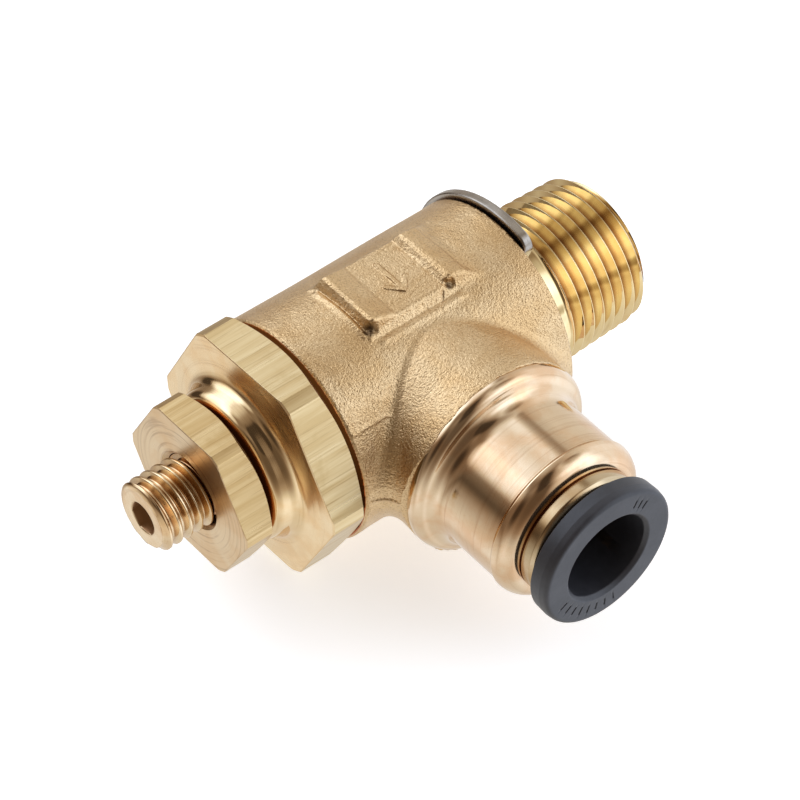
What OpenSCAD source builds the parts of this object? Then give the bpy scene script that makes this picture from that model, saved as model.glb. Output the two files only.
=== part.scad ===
// Swivelling right-angle relief valve: tapered male inlet thread, side tube port,
// screw-set spring load behind a large hex bonnet.
// The thread and the adjusting screw lie on X, the tube port points to -Y.
// Origin: on the thread axis, in the plane where the male thread starts.

/* [Swivel body] */
// Radius of the cast barrel
body_r = 12.5; // [12.3:0.1:13]
// Barrel length from the port axis towards the bonnet
body_rear = 13.6; // [13.3:0.1:14.5]
// Barrel length from the port axis towards the thread
body_front = 13.3; // [13.2:0.1:14]
// Radius of the main bore that turns on the stem
main_bore_r = 10; // [9.9:0.05:10.2]
// Radius of the neck that carries the tube port
neck_r = 11; // [10.8:0.1:11.2]
// Height of the cast pad above the axis
pad_z = 12.9; // [12.8:0.1:13.2]

/* [Tube port] */
// Outside diameter of the tube that fits the port
tube_od = 9.525; // [9.3:0.005:9.6]
// Radius of the turned rim behind the port barrel
rim_r = 11.2; // [11:0.1:11.6]
// Radius of the turned port barrel
barrel_r = 9; // [8.9:0.1:9.4]
// Distance from the main axis to the end of the port barrel
port_end = 28.1; // [28.1:0.1:29]
// Outside radius of the release collar's flange
collar_r = 8.15; // [7.8:0.05:8.6]
// Thickness of the release collar's flange
collar_t = 2.4; // [2:0.1:3]
// Gap under the collar's flange, which sets its travel
collar_gap = 0.8; // [0.75:0.05:1.2]

/* [Stem and thread] */
// Radius of the stem inside the body
stem_r = 9.95; // [9.85:0.01:9.97]
// Radius over the male thread, taken as a plain cylinder
thread_r = 8.5; // [8.4:0.05:8.6]
// Length of the male thread
thread_len = 10.7; // [9:0.1:14]
// Radius of the inlet bore through the thread
inlet_r = 5; // [4:0.1:5.4]
// Number of cross holes that let flow out of the stem
cross_holes = 6; // [4:1:6]
// Outside radius of the retaining ring
ring_r = 13; // [12.4:0.1:13.4]
// Thickness of the retaining ring
ring_t = 1.2; // [1:0.1:1.2]

/* [Bonnet and adjuster] */
// Size across flats of the bonnet hex
bonnet_af = 24.3; // [23.8:0.1:24.6]
// Thickness of the bonnet hex
bonnet_h = 4.7; // [4.5:0.1:5.4]
// Height of the domed boss on the bonnet
boss_h = 3.2; // [3.2:0.1:4]
// Size across flats of the lock nut
nut_af = 16.8; // [15:0.1:17.5]
// Thickness of the lock nut
nut_h = 3.9; // [3.5:0.1:5]
// Radius of the adjusting screw
screw_r = 3.95; // [3.9:0.01:3.98]
// Length of screw standing out of the lock nut at rest
screw_out = 5.7; // [4.5:0.1:8]
// Size across flats of the socket in the screw
socket_af = 3.2; // [2.5:0.1:4]

/* [Relief parts] */
// Radius of the bore through the valve seat
seat_r = 4; // [3.2:0.1:4]
// Radius of the spring wire
wire_r = 0.7; // [0.5:0.05:0.75]
// Turns in the spring, its closed ends included
spring_turns = 5; // [4:0.5:5]

/* [Hidden] */
$fn = 96;

over = 1;          // overshoot of a cut past the face it opens
fit = 0.05;        // clearance between mating parts
close_fit = 0.03;  // clearance round the ball and the poppet seal
face_gap = 0.02;   // gap between faces that meet

// Stations along X, measured from the port axis: x0 is a piece's rear end, towards
// the bonnet (-X), and x1 its front end, towards the thread (+X).
body_x0 = -body_rear;
body_x1 = body_front;
bonnet_x1 = body_x0 - 0.5;
bonnet_x0 = bonnet_x1 - bonnet_h;
boss_x0 = bonnet_x0 - boss_h;
lock_seal_t = 0.35;
nut_x1 = boss_x0 - lock_seal_t - 2 * face_gap;
nut_x0 = nut_x1 - nut_h;
screw_x0 = nut_x0 - screw_out;
ring_x0 = body_x1 + 0.3;
ring_x1 = ring_x0 + ring_t;
thread_x0 = ring_x1 + 2.1;
thread_x1 = thread_x0 + thread_len;
chamber_x0 = bonnet_x1 - 1.5;    // closed end of the spring chamber
spigot_x1 = bonnet_x1 + 7.1;     // end of the bonnet's spigot
ball_x = bonnet_x1 + 0.5;
screw_x1 = ball_x - 0.4;
button_x0 = ball_x + 0.8;
button_x1 = button_x0 + 2;
poppet_floor_x = 1;              // floor of the poppet's spring pocket
seal_pit_x = 7.6;                // floor of the pit in the poppet's nose
seat_x = 8.8;                    // sealing lip
valve_bore_x1 = 12.5;

// O-ring stations on X, and half the width of the grooves they lie in
screw_seal_x = chamber_x0 - 1.3;
bonnet_seal_x = bonnet_x1 + 0.7;
bonnet_groove_half = 0.7;        // both grooves above
seat_seal_x = 10.6;
seat_groove_half = 0.6;
swivel_rear_x = -8.5;
swivel_front_x = 10.5;
swivel_groove_half = 0.9;

// radii about X
spigot_r = 7.5;
spring_bore_r = 6.2;
valve_bore_r = 6.6;              // stem bore round the poppet and the seat
ball_r = 1.5;
seal_pit_r = 4.95;
retainer_r = 1.2;                // shank of the seal retainer
ring_groove_r = 7.35;
relief_r = 8.3;                  // plain neck between body and thread
screw_hole_r = screw_r + fit;

// tube port; d0 and d1 are distances from the main axis along -Y
bore_clear = 4.9;                // inside radius of everything the tube passes
tube_bore_r = tube_od / 2 + 0.0875;
pocket_r = 7.05;
cartridge_r = pocket_r - fit;    // outside radius of the rings in the pocket
socket_d0 = 14;
socket_d1 = 18.5;                // floor of the pocket
barrel_d1 = port_end - 2.3;
cartridge_d1 = port_end + 1.7;
collar_d0 = cartridge_d1 + collar_gap;
collar_d1 = collar_d0 + collar_t;

// shifts the stations so that the thread's start is the origin
module place() translate([-thread_x0, 0, 0]) children();

// solids of revolution, about X from [radius, x] and about -Y from [radius, distance]
module turned_x(outline) rotate([0, 90, 0]) rotate_extrude() polygon(outline);
module turned_port(outline) rotate([90, 0, 0]) rotate_extrude() polygon(outline);

module cylinder_x(r, x0, x1)
  translate([x0, 0, 0]) rotate([0, 90, 0]) cylinder(r = r, h = x1 - x0);
module cylinder_port(r, d0, d1)
  rotate([90, 0, 0]) translate([0, 0, d0]) cylinder(r = r, h = d1 - d0);

// six-sided prism along X, turned about its axis
module hex_x(flats, x0, x1, turn)
  translate([x0, 0, 0]) rotate([0, 90, 0]) rotate([0, 0, turn])
    cylinder(r = flats / 2 / cos(30), h = x1 - x0, $fn = 6);

// hex with its corners turned off; rear and front are [radius beyond the flats at
// the end face, bevel length], middle is the radius beyond the flats between them
module turned_hex(flats, x0, x1, turn, rear, middle, front) intersection() {
  hex_x(flats, x0, x1, turn);
  turned_x([[0, x0], [flats / 2 + rear[0], x0], [flats / 2 + middle, x0 + rear[1]],
    [flats / 2 + middle, x1 - front[1]], [flats / 2 + front[0], x1], [0, x1]]);
}

// cutter that bevels a bore's mouth at x; inward is the way into the bore, 1 or -1
module mouth_bevel(r, x, inward, size = 0.5) turned_x([
  [0, x - 0.1 * inward], [r + size, x - 0.1 * inward],
  [r - 0.1, x + size * inward], [0, x + size * inward]]);

module torus(r, wire) rotate_extrude() translate([r, 0]) circle(r = wire, $fn = 32);
module o_ring_x(r, wire, x) translate([x, 0, 0]) rotate([0, 90, 0]) torus(r, wire);

// radial slots round the port axis
module port_slots(angles, length, width, d0, depth)
  rotate([90, 0, 0]) for (a = angles) rotate([0, 0, a])
    translate([4, -width / 2, d0]) cube([length, width, depth]);

// hollow in which the thrust ball sits
module ball_hollow() translate([ball_x, 0, 0]) sphere(r = ball_r + close_fit);

// outline points of an arc, its centre given as [radius, station]
function arc(centre, r, start, end, steps) =
  [for (i = [0:steps]) let (a = start + (end - start) * i / steps)
    centre + r * [cos(a), sin(a)]];

// outline points of a square groove
function groove(outer_r, floor_r, x0, x1) =
  [[outer_r, x0], [floor_r, x0], [floor_r, x1], [outer_r, x1]];

module body_shell() {
  rear_round = 0.7;
  front_round = 0.5;
  turned_x(concat(
    [[0, body_x0]],
    arc([body_r - rear_round, body_x0 + rear_round], rear_round, -90, 0, 6),
    arc([body_r - front_round, body_x1 - front_round], front_round, 0, 90, 6),
    [[0, body_x1]]));

  // neck, turned rim, port barrel and its rounded nose
  rim_round = 0.6;
  fillet = 2.1;
  nose_round = 2;
  groove_r = barrel_r - 0.15;
  turned_port(concat(
    [[0, 0], [neck_r, 0], [neck_r, 15.4], [rim_r, 15.8]],
    arc([rim_r - rim_round, 16.6], rim_round, 0, 75, 5),
    arc([barrel_r + fillet, 19.2], fillet, 250, 180, 6),
    [[barrel_r, barrel_d1 - 0.5], [groove_r, barrel_d1 - 0.4],
     [groove_r, barrel_d1 - 0.2], [barrel_r + 0.05, barrel_d1 - 0.1]],
    arc([barrel_r + 0.05 - nose_round, barrel_d1], nose_round, 0, 60, 6),
    [[7.5, port_end], [0, port_end]]));
}

// pad on top of the body, with a raised strip at each end
module pad() {
  base_z = 8;
  strip_z = pad_z + 0.2;
  // each block: x start, length, top
  for (block = [[-6.1, 12.1, pad_z], [-6.1, 3.2, strip_z], [3.8, 2.2, strip_z]])
    translate([block[0], -3.7, base_z]) cube([block[1], 8.2, block[2] - base_z]);
  // raised flow arrow towards the outlet
  translate([0, 0, pad_z - 0.1]) linear_extrude(0.25)
    polygon([[-0.4, 2.8], [0.4, 2.8], [0.4, 0], [1.3, 0], [0, -2.2], [-1.3, 0], [-0.4, 0]]);
}

module body() color("goldenrod") difference() {
  union() {
    body_shell();
    pad();
  }
  cylinder_x(main_bore_r, body_x0 - over, body_x1 + over);
  mouth_bevel(main_bore_r, body_x0, 1);
  mouth_bevel(main_bore_r, body_x1, -1);
  // ring-shaped recess round the stem, and the passage from it to the port
  cylinder_x(10.9, -4.5, 8.7);
  cylinder_port(3.9, 5, 15);
  cylinder_port(tube_bore_r, socket_d0, port_end + over);
  cylinder_port(pocket_r, socket_d1, port_end + over);
}

module stem() color("gold") difference() {
  seal_floor_r = 8.7;
  waist_r = 9.2;   // shallow recess where the cross holes come out
  turned_x(concat(
    [[0, bonnet_x1], [stem_r - 0.35, bonnet_x1], [stem_r, bonnet_x1 + 0.35]],
    groove(stem_r, seal_floor_r,
      swivel_rear_x - swivel_groove_half, swivel_rear_x + swivel_groove_half),
    [[stem_r, 5], [waist_r, 5.5], [waist_r, 8.4], [stem_r, 8.9]],
    groove(stem_r, seal_floor_r,
      swivel_front_x - swivel_groove_half, swivel_front_x + swivel_groove_half),
    [[stem_r, body_x1 - 0.25], [stem_r - 0.3, body_x1 + 0.05], [relief_r, body_x1 + 0.05]],
    groove(relief_r, ring_groove_r, ring_x0 - fit, ring_x1 + fit),
    [[relief_r, thread_x0], [thread_r, thread_x0],
     [thread_r, thread_x1 - 0.6], [thread_r - 0.9, thread_x1], [0, thread_x1]]));
  cylinder_x(8.9, bonnet_x1 - over, bonnet_seal_x + bonnet_groove_half);
  cylinder_x(spigot_r + fit, bonnet_x1 - over, spigot_x1 + fit);
  cylinder_x(valve_bore_r, spigot_x1 - over, valve_bore_x1);
  cylinder_x(inlet_r, 10, thread_x1 + over);
  mouth_bevel(inlet_r, thread_x1, -1, size = 0.8);
  for (i = [0:cross_holes - 1])
    translate([7, 0, 0]) rotate([360 / cross_holes * (i + 0.5), 0, 0])
      cylinder(r = 1.6, h = 12, $fn = 48);
}

// cuts a flat shape through the retaining ring; angles run from +Y towards +Z
module ring_cutter() rotate([90, 0, 90]) translate([0, 0, ring_x0 - over])
  linear_extrude(ring_t + 2 * over) children();

// open spring ring; the opening faces the port side, -Y
module retaining_ring() color("slategray") difference() {
  open_start = 111;
  open_end = 235;
  corner_r = 1.6;
  cylinder_x(ring_r, ring_x0, ring_x1);
  cylinder_x(ring_groove_r + fit, ring_x0 - over, ring_x1 + over);
  // the opening
  ring_cutter() polygon([[0, 0],
    for (a = [open_start:(open_end - open_start) / 4:open_end]) 30 * [cos(a), sin(a)]]);
  // rounded outer corners of the two ends: angle, and 1 where the cutter is mirrored
  for (end = [[open_start, 1], [open_end, 0]])
    ring_cutter() rotate(end[0]) mirror([0, end[1]]) difference() {
      translate([ring_r - corner_r, -over]) square([3, corner_r + over]);
      translate([ring_r - corner_r - 0.15, corner_r]) circle(r = corner_r, $fn = 32);
    }
}

module bonnet() color("darkgoldenrod") difference() {
  boss_root_r = 11;
  fillet = 2.2;
  crown_round = 1.3;
  union() {
    turned_hex(bonnet_af, bonnet_x0, bonnet_x1, turn = 27.5,
      rear = [1.25, 0.45], middle = 2, front = [-0.1, 1.15]);
    turned_x(concat(
      [[0, bonnet_x0 + 0.5], [boss_root_r, bonnet_x0 + 0.5], [boss_root_r, bonnet_x0]],
      arc([boss_root_r, bonnet_x0 - fillet], fillet, 90, 160, 6),
      arc([6.8, boss_x0 + crown_round], crown_round, 0, -80, 6),
      [[0, boss_x0]]));
    cylinder_x(spigot_r, bonnet_x1 - over, spigot_x1);
  }
  cylinder_x(screw_hole_r, boss_x0 - over, bonnet_x1);
  cylinder_x(5.2, screw_seal_x - bonnet_groove_half, screw_seal_x + bonnet_groove_half);
  cylinder_x(spring_bore_r, chamber_x0, spigot_x1 + over);
}

module lock_nut_seal() color("dimgray") difference() {
  x0 = nut_x1 + face_gap;
  cylinder_x(5.9, x0, x0 + lock_seal_t);
  cylinder_x(screw_hole_r, x0 - over, x0 + lock_seal_t + over);
}

module lock_nut() color("darkkhaki") difference() {
  turned_hex(nut_af, nut_x0, nut_x1, turn = 29,
    rear = [0.9, 0.4], middle = 1.6, front = [-0.2, 0.95]);
  cylinder_x(screw_hole_r, nut_x0 - over, nut_x1 + over);
  mouth_bevel(screw_hole_r, nut_x0, 1);
}

module adjusting_screw() color("gold") difference() {
  rear_bevel = 0.65;
  front_bevel = 0.5;
  turned_x([[0, screw_x0], [screw_r - rear_bevel, screw_x0], [screw_r, screw_x0 + rear_bevel],
    [screw_r, screw_x1 - front_bevel], [screw_r - front_bevel, screw_x1], [0, screw_x1]]);
  hex_x(socket_af, screw_x0 - over, screw_x0 + 5, 0);
  mouth_bevel(socket_af / 2 - 0.1, screw_x0, 1);
  ball_hollow();
}

module screw_o_ring() color("dimgray") o_ring_x(4.58, 0.59, screw_seal_x);
module bonnet_o_ring() color("dimgray") o_ring_x(8.2, 0.65, bonnet_seal_x);
module seat_o_ring() color("dimgray") o_ring_x(6.08, 0.47, seat_seal_x);
module swivel_o_ring_rear() color("dimgray") o_ring_x(9.34, 0.62, swivel_rear_x);
module swivel_o_ring_front() color("dimgray") o_ring_x(9.34, 0.62, swivel_front_x);

module thrust_ball() color("silver") translate([ball_x, 0, 0]) sphere(r = ball_r, $fn = 64);

// disc behind the spring, with a pilot that enters the coils
module spring_button() color("silver") difference() {
  disc_r = spring_bore_r - fit;
  pilot_r = 4.05;
  turned_x([[0, button_x0], [disc_r - 0.3, button_x0], [disc_r, button_x0 + 0.3],
    [disc_r, button_x1], [pilot_r, button_x1], [pilot_r, button_x1 + 1.2],
    [3.6, button_x1 + 1.6], [0, button_x1 + 1.6]]);
  ball_hollow();
}

// compression spring: closed end coils, wire swept along a computed path
module spring() color("silver") {
  sides = 16;            // points round the wire
  turn_steps = 24;
  steps = floor(spring_turns * turn_steps);
  mean_r = 4.9;
  x0 = button_x1 + face_gap + wire_r;
  x1 = poppet_floor_x - face_gap - wire_r;
  end_turns = 0.75;      // turns at the closed pitch at each end
  closed_pitch = 2 * wire_r + 0.03;
  open_pitch = (x1 - x0 - 2 * end_turns * closed_pitch) / (spring_turns - 2 * end_turns);
  points = [for (i = [0:steps])
    let (turn = i / turn_steps, a = 360 * turn,
      closed = min(turn, end_turns) + max(turn - spring_turns + end_turns, 0),
      x = x0 + closed * closed_pitch + (turn - closed) * open_pitch)
    for (j = [0:sides - 1])
      let (b = 360 * j / sides, r = mean_r + wire_r * cos(b))
      [x + wire_r * sin(b), r * cos(a), r * sin(a)]];
  // two end caps, then two triangles for each patch of the wire's skin
  faces = concat(
    [[for (j = [0:sides - 1]) j]],
    [[for (j = [sides - 1:-1:0]) steps * sides + j]],
    [for (i = [0:steps - 1]) for (j = [0:sides - 1])
      [i * sides + j, (i + 1) * sides + j, i * sides + (j + 1) % sides]],
    [for (i = [0:steps - 1]) for (j = [0:sides - 1])
      [(i + 1) * sides + j, (i + 1) * sides + (j + 1) % sides, i * sides + (j + 1) % sides]]);
  polyhedron(points, faces, convexity = 8);
}

module poppet() color("goldenrod") difference() {
  turned_x([[0, -1.5], [6.2, -1.5], [6.5, -1.2], [6.5, 3.4],
    [5.4, 4.5], [5.4, 8.1], [5.2, 8.3], [0, 8.3]]);
  cylinder_x(5.75, -2.5, poppet_floor_x);
  cylinder_x(seal_pit_r, seal_pit_x, 9);
  cylinder_x(retainer_r + 0.02, 5.4, 9);
  // grooves that balance pressure along the skirt
  for (a = [45:90:315]) rotate([a, 0, 0]) translate([-2, -0.8, 6.1]) cube([6, 1.6, 2]);
}

module poppet_seal() color("dimgray") difference() {
  cylinder_x(seal_pit_r - close_fit, seal_pit_x + face_gap, seat_x - face_gap);
  cylinder_x(retainer_r + 0.06, 7, 10);
}

// slotted pin through the poppet seal
module seal_retainer() color("silver") difference() {
  head_r = 2.3;
  union() {
    cylinder_x(retainer_r, 5.5, seat_x + 0.2);
    turned_x([[0, seat_x], [head_r, seat_x], [head_r, seat_x + 0.5],
      [head_r - 0.3, seat_x + 0.8], [0, seat_x + 0.8]]);
  }
  translate([seat_x + 0.45, -3, -0.3]) cube([1, 6, 0.6]);
}

module valve_seat() color("goldenrod") difference() {
  outer_r = valve_bore_r - fit;
  x1 = valve_bore_x1 - fit;
  turned_x(concat(
    [[0, seat_x], [seat_r + 0.5, seat_x], [seat_r + 0.8, 9.1], [6.2, 9.1], [outer_r, 9.4]],
    groove(outer_r, 5.6, seat_seal_x - seat_groove_half, seat_seal_x + seat_groove_half),
    [[outer_r, x1 - 0.25], [outer_r - 0.25, x1], [0, x1]]));
  cylinder_x(seat_r, 8, 13);
}

module tube_o_ring() color("dimgray")
  rotate([90, 0, 0]) translate([0, 0, socket_d1 + 1.12]) torus(5.95, 1.04);

module backup_ring() color("whitesmoke") turned_port([
  [bore_clear + fit, 20.75], [cartridge_r, 20.75], [cartridge_r, 22.15],
  [6.1, 22.15], [5.9, 21.35], [bore_clear + fit, 21.35]]);

// toothed steel ring; its teeth lean inwards and let the tube in but not out
module grab_ring() color("silver") difference() {
  turned_port([[cartridge_r, 22.2], [cartridge_r, 22.45], [5.95, 22.45],
    [bore_clear + fit, 21.85], [bore_clear + fit, 21.6], [6.05, 22.2]]);
  port_slots([0:30:330], length = 2.1, width = 0.7, d0 = 21, depth = 3);
}

module cartridge_ring() color("gold") turned_port([
  [6.55, 22.5], [cartridge_r, 22.5], [cartridge_r, port_end + 0.1], [7.2, port_end + 0.1],
  [7.2, cartridge_d1 - 0.3], [6.9, cartridge_d1], [6.05, cartridge_d1],
  [6.05, 24.4], [6.55, 24.4]]);

// split sleeve with a lip at its inner end and a flange outside the port
module release_collar() color("dimgray") difference() {
  sleeve_r = 5.99;
  turned_port([[bore_clear, 23.6], [6.1, 23.5], [6.45, 23.8], [6.45, 24.25],
    [sleeve_r, 24.35], [sleeve_r, collar_d0], [collar_r, collar_d0],
    [collar_r, collar_d1 - 0.55], [collar_r - 0.55, collar_d1],
    [bore_clear + 0.35, collar_d1], [bore_clear, collar_d1 - 0.35]]);
  port_slots([45:90:315], length = 4, width = 1, d0 = 23, depth = 4.5);
}

place() body();
place() stem();
place() retaining_ring();
place() bonnet();
place() lock_nut_seal();
place() lock_nut();
place() adjusting_screw();
place() screw_o_ring();
place() bonnet_o_ring();
place() thrust_ball();
place() spring_button();
place() spring();
place() poppet();
place() poppet_seal();
place() seal_retainer();
place() valve_seat();
place() seat_o_ring();
place() swivel_o_ring_rear();
place() swivel_o_ring_front();
place() tube_o_ring();
place() backup_ring();
place() grab_ring();
place() cartridge_ring();
place() release_collar();
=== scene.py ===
"""Brass flow valve with a threaded stem, an adjusting screw and a swivelling tube port.

The main axis lies along X, with y = z = 0 on it: the threaded stem points to +X, and the bonnet,
lock nut and adjusting screw to -X. The port points to -Y and the cast pad faces +Z.
Sizes are in mm with x = 0 on the port axis, which stands PORT_X from the frame's origin.
Numbers inside materials are in metres. Profiles round the main axis are (x, radius), and those
round the port axis are (-y, radius).
"""
import math

import bmesh
import bpy
import numpy as np
from mathutils import Matrix, Vector

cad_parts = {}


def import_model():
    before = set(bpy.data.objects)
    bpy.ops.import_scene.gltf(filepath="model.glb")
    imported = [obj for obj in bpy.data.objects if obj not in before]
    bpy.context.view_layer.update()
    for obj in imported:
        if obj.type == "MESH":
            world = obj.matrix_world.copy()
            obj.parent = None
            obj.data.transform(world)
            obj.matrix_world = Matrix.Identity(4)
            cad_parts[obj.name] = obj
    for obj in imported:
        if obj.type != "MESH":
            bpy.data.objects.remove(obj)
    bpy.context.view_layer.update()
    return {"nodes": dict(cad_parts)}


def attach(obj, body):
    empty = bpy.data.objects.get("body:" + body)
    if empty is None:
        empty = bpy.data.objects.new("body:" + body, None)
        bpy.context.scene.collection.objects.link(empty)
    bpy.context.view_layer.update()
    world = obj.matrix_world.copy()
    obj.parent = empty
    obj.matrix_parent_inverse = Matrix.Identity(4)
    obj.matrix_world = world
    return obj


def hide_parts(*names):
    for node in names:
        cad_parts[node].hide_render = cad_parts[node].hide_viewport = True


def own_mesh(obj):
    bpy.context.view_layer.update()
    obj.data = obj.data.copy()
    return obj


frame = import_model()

MM = 0.001
PORT_X = -16.9

# cast body
BARREL_START, BARREL_END, BARREL_RADIUS = -13.75, 13.42, 12.5
BORE_RADIUS = 10.0
PORT_BORE = 4.85

# hexagons, across the flats
BONNET_FLATS = 24.3
NUT_FLATS = 16.8
TAN_30 = math.tan(math.radians(30))

SCREW_RADIUS = 3.95
STEM_PITCH = 25.4 / 18  # 18 turns to the inch

SPRING_START, SPRING_END, SPRING_MIDDLE = -10.78, 0.98, -4.9

FLOOR_Z = -13.04


# ------------------------------------------------------------------ mesh tools
def world(points):
    points = np.array(points, float)
    points[:, 0] += PORT_X
    return points * MM


def write_points(mesh, points):
    mesh.vertices.foreach_set("co", world(points).astype(np.float32).ravel())


def read_points(mesh):
    flat = np.zeros(len(mesh.vertices) * 3, np.float32)
    mesh.vertices.foreach_get("co", flat)
    points = flat.reshape(-1, 3).astype(float) * 1000
    points[:, 0] -= PORT_X
    return points


def quad_mesh(name, points, quads):
    mesh = bpy.data.meshes.new(name)
    mesh.vertices.add(len(points))
    write_points(mesh, points)
    loops = quads.ravel().astype(np.int32)
    mesh.loops.add(len(loops))
    mesh.loops.foreach_set("vertex_index", loops)
    mesh.polygons.add(len(quads))
    mesh.polygons.foreach_set("loop_start", (np.arange(len(quads)) * 4).astype(np.int32))
    mesh.update(calc_edges=True)
    mesh.validate()
    return mesh


def add_faces(mesh, loops):
    """Adds one face for each run of vertex numbers."""
    bm = bmesh.new()
    bm.from_mesh(mesh)
    bm.verts.ensure_lookup_table()
    for loop in loops:
        bm.faces.new([bm.verts[i] for i in loop])
    bm.to_mesh(mesh)
    bm.free()


def tidy(mesh, weld=2e-6, flat=1e-6):
    """Welds doubled points, drops flat faces and turns every face outwards."""
    bm = bmesh.new()
    bm.from_mesh(mesh)
    if weld:
        bmesh.ops.remove_doubles(bm, verts=bm.verts, dist=weld)
    bmesh.ops.dissolve_degenerate(bm, edges=bm.edges, dist=flat)
    bmesh.ops.recalc_face_normals(bm, faces=bm.faces)
    for face in bm.faces:
        face.smooth = True
    bm.to_mesh(mesh)
    bm.free()
    mesh.update()


def area_normals(mesh):
    """Point normals weighted by face area, so that wide flat faces stay flat."""
    count = len(mesh.vertices)
    corners = np.zeros(len(mesh.loops), np.int32)
    mesh.loops.foreach_get("vertex_index", corners)
    face_count = len(mesh.polygons)
    normals = np.zeros(face_count * 3, np.float32)
    mesh.polygons.foreach_get("normal", normals)
    areas = np.zeros(face_count, np.float32)
    mesh.polygons.foreach_get("area", areas)
    sides = np.zeros(face_count, np.int32)
    mesh.polygons.foreach_get("loop_total", sides)
    weighted = np.repeat(normals.reshape(-1, 3) * areas[:, None], sides, axis=0)
    total = np.zeros((count, 3))
    for axis in range(3):
        total[:, axis] = np.bincount(corners, weighted[:, axis], count)
    length = np.linalg.norm(total, axis=1)
    length[length == 0] = 1
    mesh.normals_split_custom_set_from_vertices((total / length[:, None]).tolist())


def link_object(name, mesh):
    made = bpy.data.objects.new(name, mesh)
    bpy.context.scene.collection.objects.link(made)
    return made


def piece(name, mesh, body, material, node):
    made = link_object(name, mesh)
    mesh.materials.clear()
    mesh.materials.append(material)
    mesh.polygons.foreach_set("material_index", np.zeros(len(mesh.polygons), np.int32))
    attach(made, body)
    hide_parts(node)
    return made


def modified(mesh, kind, **settings):
    """The mesh that one modifier makes of this mesh, which is then removed."""
    carrier = link_object(mesh.name, mesh)
    modifier = carrier.modifiers.new("shape", kind)
    for key, value in settings.items():
        setattr(modifier, key, value)
    graph = bpy.context.evaluated_depsgraph_get()
    result = bpy.data.meshes.new_from_object(carrier.evaluated_get(graph), depsgraph=graph)
    result.name = mesh.name
    bpy.data.objects.remove(carrier)
    bpy.data.meshes.remove(mesh)
    return result


def cut(mesh, solids):
    """Takes the closed solids of a bmesh away from a mesh."""
    cutter_mesh = bpy.data.meshes.new("cutter")
    solids.to_mesh(cutter_mesh)
    solids.free()
    cutter = link_object("cutter", cutter_mesh)
    mesh = modified(mesh, "BOOLEAN", operation="DIFFERENCE", object=cutter, solver="MANIFOLD")
    bpy.data.objects.remove(cutter)
    bpy.data.meshes.remove(cutter_mesh)
    for face in mesh.polygons:
        face.use_smooth = True
    return mesh


# -------------------------------------------------------------------- profiles
def fillet(corners, radii, steps=4, closed=True):
    """Rounds polylines held as (..., K, 2). Each corner gives steps + 1 points."""
    corners = np.asarray(corners, float)
    count = corners.shape[-2]
    out = []
    for i in range(count):
        corner = corners[..., i, :]
        if not closed and i in (0, count - 1):
            out.append(corner[..., None, :])
            continue
        before = corners[..., (i - 1) % count, :] - corner
        after = corners[..., (i + 1) % count, :] - corner
        len_before = np.maximum(np.linalg.norm(before, axis=-1, keepdims=True), 1e-9)
        len_after = np.maximum(np.linalg.norm(after, axis=-1, keepdims=True), 1e-9)
        cosine = (before * after).sum(-1, keepdims=True) / (len_before * len_after)
        reach = radii[i] / np.tan(np.arccos(np.clip(cosine, -0.9999, 0.9999)) / 2)
        reach = np.minimum(reach, np.minimum(len_before, len_after) * 0.48)
        start = corner + before / len_before * reach
        end = corner + after / len_after * reach
        s = np.linspace(0, 1, steps + 1)[:, None]
        out.append(
            (1 - s) ** 2 * start[..., None, :]
            + 2 * s * (1 - s) * corner[..., None, :]
            + s**2 * end[..., None, :]
        )
    return np.concatenate(out, axis=-2)


def sections(rows):
    """(..., K, 2) points from K (station, radius) rows. Either may hold a value per angle."""
    grid = np.array(np.broadcast_arrays(*[value for row in rows for value in row]), float)
    return np.moveaxis(grid.reshape(len(rows), 2, *grid.shape[1:]), (0, 1), (-2, -1))


def rounded(rows, steps):
    """Closed outline from (station, radius, fillet) rows."""
    return fillet(sections([row[:2] for row in rows]), [row[2] for row in rows], steps)


def all_round(profile, count):
    return np.repeat(np.array(profile)[None], count, 0)


def round_main(x, radius, angle):
    return np.stack([x, radius * np.cos(angle), radius * np.sin(angle)], -1)


def round_port(depth, radius, angle):
    return np.stack([radius * np.cos(angle), -depth, radius * np.sin(angle)], -1)


def polar(name, angles, profile, place=round_main, closed=True, ends="wrap"):
    """Mesh from (station, radius) sections: one profile, or one for each angle.

    ends: "wrap" joins last section to first, "cap" closes each with a face, "seam" leaves
    coincident edges to be welded.
    """
    angles = np.asarray(angles, float)
    if profile.ndim == 2:
        profile = all_round(profile, len(angles))
    rows, cols = profile.shape[:2]
    points = place(profile[..., 0], profile[..., 1], angles[:, None]).reshape(-1, 3)
    i, j = np.meshgrid(
        np.arange(rows if ends == "wrap" else rows - 1),
        np.arange(cols if closed else cols - 1),
        indexing="ij",
    )
    i_next, j_next = (i + 1) % rows, (j + 1) % cols
    quads = [i * cols + j, i_next * cols + j, i_next * cols + j_next, i * cols + j_next]
    mesh = quad_mesh(name, points, np.stack(quads, -1).reshape(-1, 4))
    if ends == "cap":
        last = (rows - 1) * cols
        add_faces(mesh, [range(cols), range(last + cols - 1, last - 1, -1)])
    tidy(mesh)
    return mesh


def ring_angles(count):
    return np.arange(count) * 2 * np.pi / count


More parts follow.
